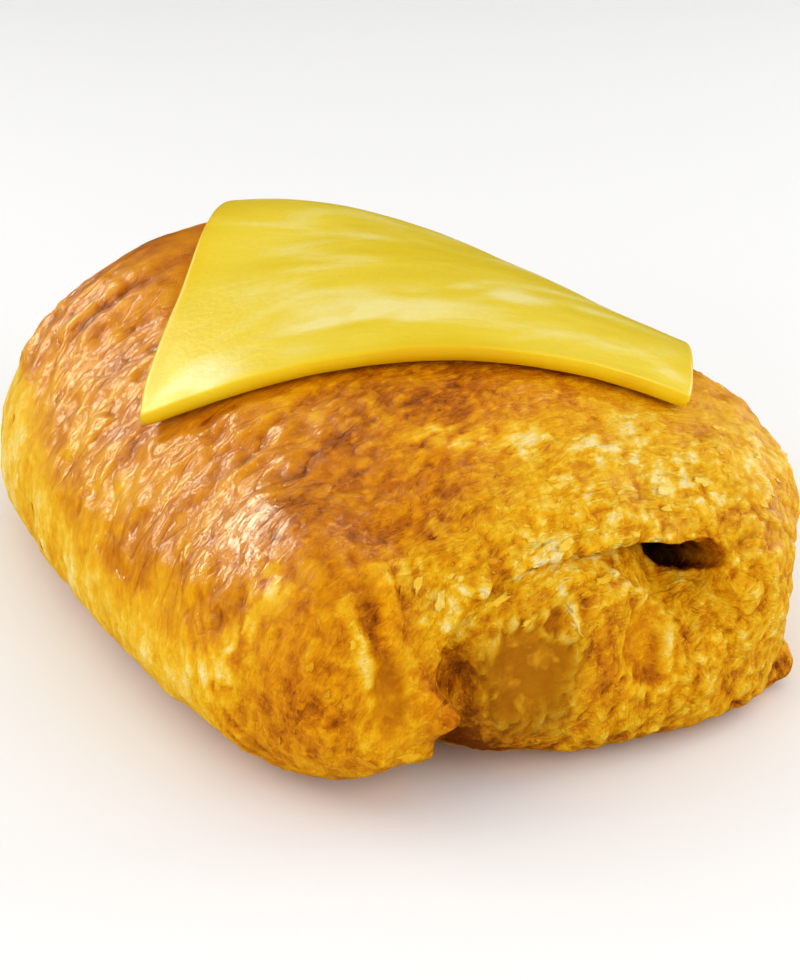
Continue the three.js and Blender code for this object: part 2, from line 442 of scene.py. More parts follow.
def make_cheese():
    even = np.linspace(0, 1, CHEESE_ROWS + 1)
    closer_at_edges = 0.5 - 0.5 * np.cos(np.pi * even)
    line = 0.35 * closer_at_edges + 0.65 * even
    u, v = [a.ravel() for a in np.meshgrid(line, line, indexing="ij")]
    from_edge = np.minimum(np.minimum(u, 1 - u), np.minimum(v, 1 - v)) * SLICE_SIDE
    soft = np.clip(from_edge / EDGE_ROUNDING, 0, 1)
    half = SLICE_THICKNESS / 2 * (1 - (1 - soft) ** ROUND_POWER) ** (1 / ROUND_POWER)
    rounded = 0.5 * (1 - CORNER_ROUNDING * np.abs((2 * u - 1) * (2 * v - 1)) ** 10)
    at_u, at_v = 0.5 + (2 * u - 1) * rounded, 0.5 + (2 * v - 1) * rounded
    place = between(LAID, at_u, at_v)
    out = between(OUTWARD, at_u, at_v)
    out /= np.linalg.norm(out, axis=1, keepdims=True)
    flat = np.stack([u, v, np.zeros_like(u)], 1) * SLICE_SIDE
    corner = np.argmin(place[:, 0] + place[:, 1])
    outward = place[corner] - between(LAID, np.array([0.5]), np.array([0.5]))[0]
    outward -= out[corner] * (outward @ out[corner])
    outward /= np.linalg.norm(outward)
    from_corner = np.linalg.norm(flat - flat[corner], axis=1)
    place += (CORNER_PULL * np.exp(-(from_corner / CORNER_REACH) ** 2))[:, None] * outward
    sway = 0.20 * noise(flat / 22.0, 3) + 0.06 * noise(flat / 6.0, 4)
    curl = 0.5 * np.exp(-from_edge / 3.0) * (0.6 + 0.8 * noise(flat / 21.0, 5))
    rise = CLEARANCE + SLICE_THICKNESS / 2 + 0.1 + np.maximum(sway, -0.2) + np.maximum(curl, 0)
    top = place + out * (rise + half)[:, None]
    bottom = place + out * (rise - half)[:, None]
    side = CHEESE_ROWS + 1
    number = np.arange(side * side).reshape(side, side)
    on_rim = np.zeros((side, side), bool)
    on_rim[[0, -1], :] = True
    on_rim[:, [0, -1]] = True
    under = number.copy()
    under[~on_rim] = side * side + np.arange((~on_rim).sum())
    a, b, c, d = number[:-1, :-1], number[1:, :-1], number[1:, 1:], number[:-1, 1:]
    faces = [np.stack([a, b, c, d], -1).reshape(-1, 4)]
    a, b, c, d = under[:-1, :-1], under[1:, :-1], under[1:, 1:], under[:-1, 1:]
    faces.append(np.stack([a, d, c, b], -1).reshape(-1, 4))
    verts = np.concatenate([top, bottom[(~on_rim).ravel()]])
    # the rim's value paints the edge strip and side faces deeper yellow and darker, standing in
    # for shade on the sides and light through the edge
    rim = 0.55 * np.exp(-from_edge / 2.5) + 0.65 * ease(1.2, 0.5, from_edge)
    rim = np.concatenate([rim, rim[(~on_rim).ravel()]])
    obj = add_mesh("cheese_slice_fine", to_row(verts), np.concatenate(faces))
    add_value(obj, "rim", rim)
    other = np.argmax(place[:, 0] - place[:, 1])
    near_edge = (flat[other] - flat[corner]) / np.linalg.norm(flat[other] - flat[corner])
    along_edge = (flat - flat[corner]) @ near_edge
    inward = np.linalg.norm(flat - flat[corner] - np.outer(along_edge, near_edge), axis=1)
    # pale patches of painted glare
    painted_glare = np.zeros(len(flat))
    for at_along, at_inward, wide, deep in GLARE_SPOTS:
        painted_glare = np.maximum(painted_glare, np.exp(-((along_edge - at_along) / wide) ** 2
                                         - ((inward - at_inward) / deep) ** 2))
    painted_glare *= ease(-0.7, 0.5, noise(flat / 6.0, 6))
    add_value(obj, "painted_glare", np.concatenate([painted_glare, painted_glare[(~on_rim).ravel()]]))
    plane = np.concatenate([flat, flat[(~on_rim).ravel()]])
    add_vector(obj, "slice", plane)
    return obj


# ---- the pastry roll ------------------------------------------------------------------

# Lines and ovals of the baked surface, in millimetres in the modelling frame.
SHINY_PATCH = (-37.5, -43.5, 35)
LOBE_CREASE = [(-47, -42, 19), (-45, -46, 25), (-42, -50, 30), (-39, -53, 33)]
LOBE_RIDGE = [(-33.6, -62, 31.5), (-34.2, -65, 27), (-34, -67, 22)]
LOBE_WINDOW = (-31.5, -68, 19.5)
TIP_RIDGE = [(-28, -60, 34), (-29.5, -66, 27), (-28.5, -69, 22), (-26.5, -70, 18), (-25, -71, 15)]
TONGUE_WINDOW = (-11.3, -72, 17.8)
TONGUE_OLIVE = (-11.5, -71, 16)
TONGUE_HOLLOW = (9.0, -72.5, 17.5)
TONGUE_PATCH = (0.5, -73, 16)
TONGUE_RIM = [(1, -72, 27), (6, -70, 26), (11, -70, 24), (13, -71.5, 19), (12.5, -72, 13)]
FILM_FOLD = [(-6, -69, 30), (-5, -72, 26), (-3.5, -73, 22)]
PALE_SPOTS = [(-11, -44, 44), (2, -62, 39), (14, -60, 40), (6, -66, 36), (-6, -66, 33),
              (5, -67, 30), (-22, -65, 29), (-1, -52, 44), (21, -63, 37), (27, -66, 34),
              (42, -54, 36), (-26, -61, 34), (34, -60, 33), (-46, -49, 17), (-45, -50, 22),
              (-43, -52, 25), (-41, -52, 30), (9, -57, 42), (18, -55, 43), (-7, -48, 44)]
HOLE_VALLEY = [(27, -66, 31), (34, -63, 28), (41, -58, 25)]
TONGUE_FOLD = [(17, -70, 25), (15.5, -72, 15), (14, -71, 7)]
PITS = [(-29, -56, 37), (-31, -58, 35), (-19, -58, 36), (-23, -56, 38), (12, -62, 38)]
PIT_RADII = (0.9, 1.5, 0.9)
PALE_RADII = (4.2, 4.2, 3.4)

# Where the crust is trimmed or filled: middle, radii and millimetres outward. The first
# ones are shaped like the rest of the relief, and the touch-ups come after it.
TRIMS = [((-42, -55, 3), (8, 10, 8), -2.0), ((-13, -67, 2), (9, 10, 6), -1.6),
         ((-28, -67, 2), (6, 8, 6), -2.4)]
TOUCH_UPS = [((-20.5, -69, 19.5), (3, 5, 3.5), -1.5), ((-21.5, -69, 10.5), (3, 5, 3), -1.3),
             ((34, -65, 2), (5, 4, 3), 1.4)]
# The two pointed corners are drawn out: middle, radii and the way they move.
LEFT_TIP = (-24.5, -71, 15)
DRAWN_OUT = [(LEFT_TIP, (3.0, 4, 2.6), (1.2, -1.2, 0.5)),
             ((38.5, -65.5, 3.5), (3.5, 3.5, 3), (0.6, -0.3, -0.9))]
# Where it is baked darker brown: middle, radii and how much. The three spots at -18.5, -12 and
# -18 mm across, beside and under the tongue, are painted shade in its recess and by the table.
BROWNING_AND_SHADE = [((-40, -58, 18), (9, 12, 14), 0.06), ((-26, -52, 37), (13, 16, 12), 0.10),
           ((0, -72, 20), (6, 9, 9), 0.14), ((-18.5, -66, 10), (4, 8, 11), 0.24),
           ((-12, -68, 3), (10, 9, 4), 0.25), ((-18, -68, 4), (6, 9, 6), 0.60),
           ((-25, -70, 15), (5, 5, 6), 0.15), ((-15, -34, 44), (22, 16, 12), 0.12),
           ((-41, -62, 15), (5, 6, 6), 0.24), ((37, -67, 5), (6, 6, 4), 0.26)]
STREAKED = (-40, -60, 20)
ORANGE_LOBE = (-39, -60, 21)

PITCH = 0.66                    # of the pastry's mesh across and up
# The crust is drawn out around a line along Y, at this X and Z, and 55 mm from it.
ROLL_X, ROLL_Z, ROLL_RADIUS = 6, -8, 55
CLEAR_OF_SLICE = (1.6, 3.6)     # the relief fades out at these distances from the slice
RELIEF_LIMITS = (-3.0, 2.0)
EVEN_BAKE = 0.43                # the bake of unglazed crust, before anything changes it
UNDER_BAKE = 0.62


def glaze_level(y):
    """How low the glaze reaches down the flanks."""
    return np.interp(y, [-50, -28, -10, 10, 30, 50, 75], [22, 16, 17, 20, 27, 30, 36])


def dome(p, size, seed):
    """Round blisters about a size across."""
    d = cellular(p / size, seed)
    return np.sqrt(np.clip(1 - (d / 0.52) ** 2, 0, 1))


def make_pastry():
    lengthways = np.concatenate([np.arange(-77, -50, 0.6), np.arange(-50, 0, 0.8),
                                 np.arange(0, 81, 1.05)])
    axes = [np.arange(-53, 60, PITCH), lengthways, np.arange(-3, 55, PITCH)]
    verts, quads = surface_nets(pastry, axes)
    n = vertex_normals(verts, quads)
    x, y, z = verts.T
    across, above = x - ROLL_X, z - ROLL_Z
    roll = np.stack([ROLL_RADIUS * np.arctan2(across, above), y, np.hypot(across, above)], 1)
    sway = np.stack([fractal(verts / 6.0, 2, 10 + k) for k in range(3)], 1)
    swayed = verts + 1.3 * sway

    # where the crust is glazed, where it is flaky and where it is smooth
    ragged = 3.0 * fractal(verts / 9.0, 3, 20)
    glazed = ease(-4, 4, z - glaze_level(y) + ragged)
    glazed *= ease(-5, 5, y + np.interp(x, [-30, -12, 5, 30], [60, 57, 49, 46]) + 0.8 * ragged)
    wrinkled = 0.15 + 0.85 * ease(-12, -28, x) * ease(-56, -48, y)
    end_face = ease(0.3, 0.8, -n[:, 1]) * (y < -40)
    window = np.clip(1.5 * spot(verts + 1.6 * sway, TONGUE_WINDOW, (5.4, 9, 6.6), 2.5), 0, 1)
    olive = np.clip(1.4 * spot(swayed, TONGUE_OLIVE, (7.5, 9, 9), 3), 0, 1)
    small_window = np.clip(1.5 * spot(swayed, LOBE_WINDOW, (1.9, 6, 4.4), 3), 0, 1)
    patch = spot(swayed, TONGUE_PATCH, (4.2, 7, 7), 2.5)
    pit = np.clip(1.3 * spot(swayed, TONGUE_HOLLOW, (4.0, 8, 6.0), 2.5), 0, 1)
    crease = stroke(verts + 2.2 * sway, LOBE_CREASE, 1.6) * ease(-0.5, 0.3, noise(verts / 3, 19))
    ridge = stroke(swayed, LOBE_RIDGE, 1.2)
    tip = stroke(verts + 0.6 * sway, TIP_RIDGE, 1.4)
    rim = stroke(swayed, TONGUE_RIM, 1.4)
    film = stroke(swayed, FILM_FOLD, 0.9)
    # inside the pocket the crust is painted dark, deepest far in, as shade in the gap
    lining = ease(0.9, 0.0, pocket(verts)) * ease(25, 20.5, x)
    pocket_shade = lining * ease(-69, -62, y)

    # the near-left lobe overlaps the flank behind it in a step
    edge_y = np.interp(z, [3, 7, 11, 18, 25, 33], [-50, -47, -43, -39, -33, -28])
    behind = y + 0.8 * sway[:, 1] - edge_y
    on_flank = ease(-36, -42, x) * ease(34, 27, z)
    step = 1.5 * ease(0.5, -0.5, behind) * ease(-16, -2, behind) * on_flank
    step_line = np.exp(-(behind / 0.8) ** 2) * on_flank
    for back in (3.2, 6.8):
        step_line += 0.35 * np.exp(-((behind + back + 0.9 * sway[:, 2]) / 0.9) ** 2) * on_flank

    # the relief, in millimetres along the normal
    big = (0.5 + 0.35 * ease(-40, -55, y)) * fractal(verts / 14.0, 2, 30)
    bent = roll / np.array([26.0, 8.0, 8.0]) + 0.35 * sway
    plates = np.abs(noise(bent, 43))
    narrow = roll / np.array([10.0, 3.3, 3.3]) + 0.5 * sway
    wrinkle = (1.5 * plates + 0.4 * np.abs(noise(narrow, 44)) - 0.45) * wrinkled
    shiny = spot(verts + 2 * sway, SHINY_PATCH, (7, 8.5, 7))
    wrinkle *= 1 - 0.88 * shiny
    patchy = ease(-0.25, 0.45, noise(verts / 8.0, 52))
    blister = dome(verts + 0.7 * sway, 3.3, 50) * patchy
    small_blister = dome(verts, 1.9, 51)
    lumps = 0.32 * noise(verts / 5.0, 53)
    level = 2.4 * fractal(roll / np.array([11.0, 6.0, 6.0]), 3, 60)
    leaves = 0.26 * (np.floor(level) + ease(0.7, 0.95, level - np.floor(level)) - 0.5 * level)
    rough = 0.2 * fractal(verts / 2.4, 3, 70)
    flaky = np.clip(1 - glazed, 0, 1) * (0.5 + 0.5 * end_face)
    flaky = np.maximum(flaky, 0.75 * ease(-40, -56, y))
    flaky = np.maximum(flaky, 0.55 * ease(-8, -28, y) * ease(-28, -14, x))
    flaky *= 1 - 0.55 * ease(-30, -40, x) * ease(-52, -42, y)
    flaky *= 1 - 0.4 * ease(-20, -28, x) * ease(-46, -54, y)
    flaky *= 1 - 0.8 * shiny
    relief = big + wrinkle * (0.3 + 0.7 * glazed) * (1 - 0.6 * end_face)
    relief += flaky * (0.55 * blister + 0.26 * small_blister + lumps + leaves + rough)
    relief += glazed * (1 - 0.8 * shiny) * (0.14 * blister + 0.5 * lumps)
    pits = sum(spot(verts, at, PIT_RADII) for at in PITS)
    smooth = np.clip(1.2 * window + small_window + 0.6 * pit + 0.3 * patch, 0, 1)
    relief *= 1 - 0.85 * smooth
    relief += -1.0 * window - 1.1 * small_window - 1.9 * pit - 0.7 * patch - 0.4 * crease
    relief += 1.4 * ridge + 2.2 * tip + 1.0 * rim + 0.9 * film
    brim = ease(0.05, 0.4, window) * ease(0.9, 0.4, window)
    brim = np.maximum(brim, 0.45 * ease(0.03, 0.35, pit) * ease(0.8, 0.35, pit))
    brim *= ease(-0.35, 0.25, noise(verts / 1.6, 91))
    crumb = ease(0.28, 0.55, noise(verts / 1.6, 93)) * window * ease(-7, -11, x + 0.5 * (z - 17))
    relief += 1.0 * brim + 0.45 * crumb
    relief += step - 0.6 * step_line - 0.5 * pits
    valley = stroke(swayed, HOLE_VALLEY, 4.0)
    fold_line = stroke(swayed, TONGUE_FOLD, 2.2)
    relief -= 1.2 * valley + 0.3 * fold_line
    for at, radii, outward in TRIMS:
        relief += outward * spot(verts, at, radii)

    # nothing stands up under the slice, and the underside stays on the table
    bed = (LAID + OUTWARD * CLEARANCE).reshape(-1, 3).astype(np.float32)
    covered = np.zeros(len(verts))
    for part in np.array_split(np.arange(len(verts)), 60):
        gap = ((verts[part].astype(np.float32)[:, None] - bed[None]) ** 2).sum(-1).min(1)
        covered[part] = 1 - ease(*CLEAR_OF_SLICE, np.sqrt(gap))
    relief = relief * (1 - covered) - 0.15 * covered
    low = ease(5, 0, z)
    relief = relief * (1 - 0.6 * low)
    relief *= 1 - 0.7 * spot(verts, LEFT_TIP, (5, 5, 5))
    for at, radii, outward in TOUCH_UPS:
        relief += outward * spot(verts, at, radii)
    relief = np.clip(relief, *RELIEF_LIMITS)
    verts = verts + n * relief[:, None]
    for at, radii, move in DRAWN_OUT:
        verts += np.outer(spot(verts, at, radii), move)
    verts[:, 2] = np.maximum(verts[:, 2], 0)

    # how brown each place is baked, 0 pale to 1 dark, with painted shade in hollows, creases and
    # recesses and painted light on rises added in
    # how far each place lies below its neighbours, near and broad, for the painted shade in
    # hollows and painted light on rises
    hollowness = np.clip((relax(relief, quads, 8) - relief) / 0.3, -1, 1)
    broad = np.clip((relax(relief, quads, 45) - relief) / 0.6, -1, 1)
    flank = ease(4, 12, -x - 30) * ease(-50, -40, y) * (1 - glazed)
    bake_and_shading = EVEN_BAKE + 0.09 * fractal(verts / 11.0, 3, 80) + 0.06 * noise(verts / 3.6, 81)
    # darker spots, baked brown, and painted shade beside and under the tongue
    for at, radii, darker_by in BROWNING_AND_SHADE:
        bake_and_shading += darker_by * spot(swayed, at, radii)
    # painted shade in the broad hollows of the flaky crust
    bake_and_shading += 0.15 * broad * flaky * (1 - smooth)
    # the valley beside the hole is painted darker, as shade
    bake_and_shading += 0.03 * ease(-40, -55, y) + 0.20 * valley + 0.04 * fold_line
    # paler toward the right of the near end, painted light on its lit side
    bake_and_shading -= 0.09 * ease(24, 38, x) * ease(-15, -35, y)
    bake_and_shading -= 0.04 * ease(-36, -42, x) * ease(24, 16, z) * ease(-48, -42, y)
    streaks = noise(verts / np.array([2.6, 2.6, 11.0]) + 0.3 * sway, 83)
    bake_and_shading += 0.12 * streaks * spot(verts, STREAKED, (11, 14, 20), 4)
    bake_and_shading += glazed * (0.13 + 0.08 * ease(26, 46, z) * ease(-52, -30, y))
    bake_and_shading += glazed * 0.05 * ease(25, 45, y) * ease(-5, 10, -x)
    # painted shade in small hollows and painted light on the rises between them
    bake_and_shading += (0.14 + 0.10 * flaky) * (1 - 0.7 * smooth) * np.clip(hollowness, -0.8, 1)
    bake_and_shading -= 0.10 * flank + 0.14 * ease(15, 45, y) * (1 - glazed) * ease(90, 60, y)
    # the tongue's window and patch are baked darker; the tongue's hollow and the lobe's small
    # window are partly their own brown and partly painted shade in the dip
    bake_and_shading += 0.20 * window + 0.10 * small_window + 0.13 * pit + 0.14 * patch
    # painted shade inside the pocket, and a little darker toward the near left
    bake_and_shading += 0.5 * lining + 0.05 * ease(-20, -28, x) * ease(-46, -54, y)
    drawn = noise(roll / np.array([26.0, 6.5, 6.5]) + 0.35 * sway, 84)
    bake_and_shading += 0.18 * drawn * np.clip(glazed + 0.5 * flank, 0, 1)
    speckle = ease(0.12, 0.42, noise(verts / 1.7, 92)) * ease(-4, -22, y) * ease(-32, -20, x)
    bake_and_shading -= 0.2 * speckle * glazed
    bake_and_shading += 0.07 * glazed * fractal(verts / 7.0, 2, 85)
    # painted shade under the lobe's overlapping edge, in the grooves behind it and in its crease,
    # and a painted highlight along its ridge
    bake_and_shading += 0.32 * step_line + 0.08 * crease - 0.17 * ridge + 0.20 * tip - 0.06 * rim - 0.2 * film
    # the last term is painted shade low down, near the table
    bake_and_shading += 0.15 * pits - 0.16 * brim - 0.22 * crumb + 0.16 * ease(7, 0.5, z) * ease(-24, -16, x)
    pale = np.zeros(len(verts))
    for at in PALE_SPOTS:
        pale = np.maximum(pale, spot(swayed, at, PALE_RADII))
    pale *= ease(-0.3, 0.25, fractal(roll / np.array([4.0, 1.8, 1.8]) + 0.3 * sway, 3, 90))
    bake_and_shading -= 0.52 * pale
    under = ease(0.6, 0.95, -n[:, 2])
    bake_and_shading = bake_and_shading * (1 - under) + under * (UNDER_BAKE + 0.12 * fractal(verts / 9, 3, 95))

    orange = glazed * (0.25 + 0.75 * ease(24, 40, z + 2 * sway[:, 0]))
    orange = np.maximum(orange, 0.9 * tip + 0.5 * spot(swayed, ORANGE_LOBE, (7, 10, 14)))

    obj = add_mesh("pastry_roll_fine", to_row(verts), quads)
    # the first value carries painted shade and light along with the baked colour
    for name, values in {
            "bake_and_shading": bake_and_shading, "glazed": glazed * (1 - under), "flaky": flaky * (1 - smooth),
            "smooth": smooth, "wrinkled": wrinkled * glazed * (1 - 0.6 * shiny),
            "gloss": glazed * (1 - under) * (0.17 + 0.20 * wrinkled + 0.63 * shiny),
            "orange": orange, "pocket_shade": pocket_shade,
            "olive": np.clip(olive + 0.5 * small_window, 0, 1)}.items():
        add_value(obj, name, values)
    add_vector(obj, "roll", roll)
    loose = (1 - covered) * (1 - smooth) * (1 - glazed) * ease(6, 9, z)
    return obj, verts, quads, bake_and_shading, loose


# ---- loose flakes of crust ------------------------------------------------------------

# Flakes with a place of their own: middle, direction of the long side, half length, half
# width and lift of one side, in mm. The others are scattered.
PLACED_FLAKES = [((-4.5, -73, 26), (0.25, 0, -1), 4.2, 0.9, 0.9),
                 ((-14, -68, 29), (1, 0, 0.3), 3.0, 1.3, 0.8),
                 ((2, -70, 29), (1, 0, 0.1), 3.2, 1.2, 0.9),
                 ((-22, -66, 30), (0.3, 0, 1), 2.8, 1.6, 0.8),
                 ((-24, -64, 33), (0.5, 0, 1), 2.6, 1.3, 0.7),
                 ((-3, -67, 34), (1, 0, 0.4), 3.2, 1.6, 0.5),
                 ((16, -64, 37), (1, 0, -0.1), 3.4, 1.6, 0.4),
                 ((-35, -68, 9), (1, 0, -0.4), 3.0, 1.2, 0.7),
                 ((-29, -70, 9), (1, 0, 0.1), 2.8, 1.1, 0.8)]
SCATTERED_FLAKES = 90
FLAKE_SEED = 5
SPOKES = 13                     # of each flake's outline


def make_flakes(verts, quads, bake_and_shading, weight):
    """Thin irregular sheets lying on the crust, each curled up along one side."""
    rng = np.random.default_rng(FLAKE_SEED)
    surface = BVHTree.FromPolygons([tuple(v) for v in verts], [tuple(q) for q in quads.tolist()])
    x, y, z = verts.T
    front = ease(-48, -60, y) * (0.35 + ease(26, 34, z))
    chance = weight * (0.01 + front + 0.5 * ease(-52, -60, y) * ease(-20, -30, x))
    seeds = rng.choice(len(verts), SCATTERED_FLAKES, replace=False, p=chance / chance.sum())
    jobs = [(Vector(a), Vector(d), 0.6 * length, 0.5 * width, lift, 0.10)
            for a, d, length, width, lift in PLACED_FLAKES]
    for k in seeds:
        around = Vector((verts[k, 2] - ROLL_Z, rng.normal(0, 18), ROLL_X - verts[k, 0]))
        length = rng.uniform(0.4, 1.2)
        jobs.append((Vector(verts[k]), around, length, length * rng.uniform(0.3, 0.7),
                     rng.uniform(0.0, 0.35), 0.02))
    points, faces, tones = [], [], []
    for middle, direction, length, width, lift, paler in jobs:
        place, normal, face, _ = surface.find_nearest(middle)
        # each flake takes the crust's colour value under it, painted shade and light included
        tone = bake_and_shading[quads[face, 0]] - paler
        along = (direction - normal * direction.dot(normal)).normalized()
        across = normal.cross(along)
        wobble = rng.uniform(0.55, 1.3, SPOKES)
        curl_at = rng.uniform(0, 2 * np.pi)
        top, under = [], []
        for ring, share in enumerate((0.0, 0.55, 1.0)):
            for j in range(SPOKES if ring else 1):
                turn = 2 * np.pi * j / SPOKES
                reach = share * (wobble[j] if ring == 2 else 1)
                flat = (place + along * (length * reach * np.cos(turn))
                        + across * (width * reach * np.sin(turn)))
                at, n, _, _ = surface.find_nearest(flat)
                n = (n + normal).normalized()
                raised = 0.04 + lift * share ** 2 * max(0.0, np.cos(turn - curl_at))
                top.append(at + n * (raised + 0.07))
                under.append(at + n * (raised - 0.2 * (1 - 0.6 * share)))
        base = len(points)
        low = base + len(top)
        points += top + under
        tones += [tone] * (2 * len(top))
        for j in range(SPOKES):
            k = (j + 1) % SPOKES
            a, b, c, d = 1 + j, 1 + k, 1 + SPOKES + j, 1 + SPOKES + k
            faces += [(base, base + a, base + b), (low, low + b, low + a),
                      (base + a, base + c, base + d), (base + a, base + d, base + b),
                      (low + a, low + d, low + c), (low + a, low + b, low + d),
                      (base + c, low + c, low + d), (base + c, low + d, base + d)]
    points = np.array([tuple(p) for p in points])
    points[:, 2] = np.maximum(points[:, 2], 0.2)
    obj = add_mesh("pastry_flakes", to_row(points), faces)
    add_value(obj, "tone", tones)
    return obj


# ---- materials ------------------------------------------------------------------------


def srgb(r, g, b):
    c = np.array([r, g, b], float) / 255
    c = np.where(c <= 0.04045, c / 12.92, ((c + 0.055) / 1.055) ** 2.4)
    return (*[float(k) for k in c], 1.0)


class Nodes:
    """A short way to write a node tree."""

    def __init__(self, name):
        self.material = bpy.data.materials.new(name)
        self.material.use_nodes = True
        self.tree = self.material.node_tree
        self.shader = self.tree.nodes["Principled BSDF"]

    def add(self, kind, inputs=(), **settings):
        node = self.tree.nodes.new(kind)
        for key, value in settings.items():
            setattr(node, key, value)
        for key, value in dict(inputs).items():
            self.feed(node.inputs[key], value)
        return node

    def feed(self, socket, value):
        if isinstance(value, bpy.types.NodeSocket):
            self.tree.links.new(value, socket)
        else:
            socket.default_value = value

    def set(self, **inputs):
        for key, value in inputs.items():
            self.feed(self.shader.inputs[key.replace("_", " ")], value)

    def value(self, name):
        return self.add("ShaderNodeAttribute", attribute_name=name).outputs["Fac"]

    def vector(self, name):
        return self.add("ShaderNodeAttribute", attribute_name=name).outputs["Vector"]

    def math(self, operation, a, b=0.0, c=0.0):
        return self.add("ShaderNodeMath", {0: a, 1: b, 2: c}, operation=operation).outputs[0]

    def plus(self, total, amount, value, mask=None):
        """The total, plus an amount of a value, where the mask lets it through."""
        if mask is not None:
            value = self.math("MULTIPLY", value, mask)
        return self.math("MULTIPLY_ADD", value, amount, total)

    def off_middle(self, value):
        """How far a noise is from its middle, which it crosses along thin lines."""
        return self.math("ABSOLUTE", self.math("SUBTRACT", value, 0.5))

    def noise(self, vector, scale, detail=3.0, rough=0.55, distortion=0.0):
        return self.add("ShaderNodeTexNoise", {
            "Vector": vector, "Scale": scale, "Detail": detail, "Roughness": rough,
            "Distortion": distortion}).outputs["Fac"]

    def cells(self, vector, scale):
        return self.add("ShaderNodeTexVoronoi", {
            "Vector": vector, "Scale": scale}).outputs["Distance"]

    def stretch(self, vector, scale):
        return self.add("ShaderNodeMapping", {"Vector": vector, "Scale": scale}).outputs[0]

    def span(self, value, low, high, to_low=0.0, to_high=1.0):
        return self.add("ShaderNodeMapRange", {
            "Value": value, "From Min": low, "From Max": high, "To Min": to_low,
            "To Max": to_high}).outputs[0]

    def ramp(self, value, stops):
        node = self.add("ShaderNodeValToRGB", {"Fac": value})
        bar = node.color_ramp
        while len(bar.elements) < len(stops):
            bar.elements.new(0.5)
        for element, (at, color) in zip(bar.elements, stops):
            element.position = at
            element.color = color
        return node.outputs["Color"]

    def mix(self, share, color, other, blend="MIX"):
        node = self.add("ShaderNodeMix", data_type="RGBA", blend_type=blend)
        for socket, value in ((0, share), (6, color), (7, other)):
            self.feed(node.inputs[socket], value)
        return node.outputs[2]

    def bump(self, height, distance, strength=1.0):
        return self.add("ShaderNodeBump", {
            "Height": height, "Distance": distance, "Strength": strength}).outputs["Normal"]


# The crust's colour from pale to dark, the bare dough's, the slice's and the floor's.
BAKED = [(0.0, srgb(248, 220, 146)), (0.14, srgb(243, 203, 80)), (0.28, srgb(238, 184, 29)),
         (0.45, srgb(230, 163, 9)), (0.60, srgb(217, 141, 4)), (0.78, srgb(190, 108, 3)),
         (1.0, srgb(118, 52, 3))]
BARE = [(0.3, srgb(160, 100, 4)), (0.5, srgb(148, 88, 3)), (0.75, srgb(204, 142, 22))]
CHEESE = [(0.0, srgb(243, 226, 138)), (0.25, srgb(235, 207, 54)), (0.5, srgb(231, 198, 26)),
          (0.8, srgb(230, 190, 12)), (1.0, srgb(224, 176, 6))]
FLOOR = [(0.0, (0.90, 0.90, 0.90, 1)), (1.0, (0.93, 0.93, 0.93, 1))]
GLAZE_TINT = (1.0, 0.89, 0.48, 1)
# the colour of the painted shade deep in the pocket
POCKET_SHADE_COLOR = (0.06, 0.008, 0.001, 1)
CRUST_BUMP = 0.0010             # metres


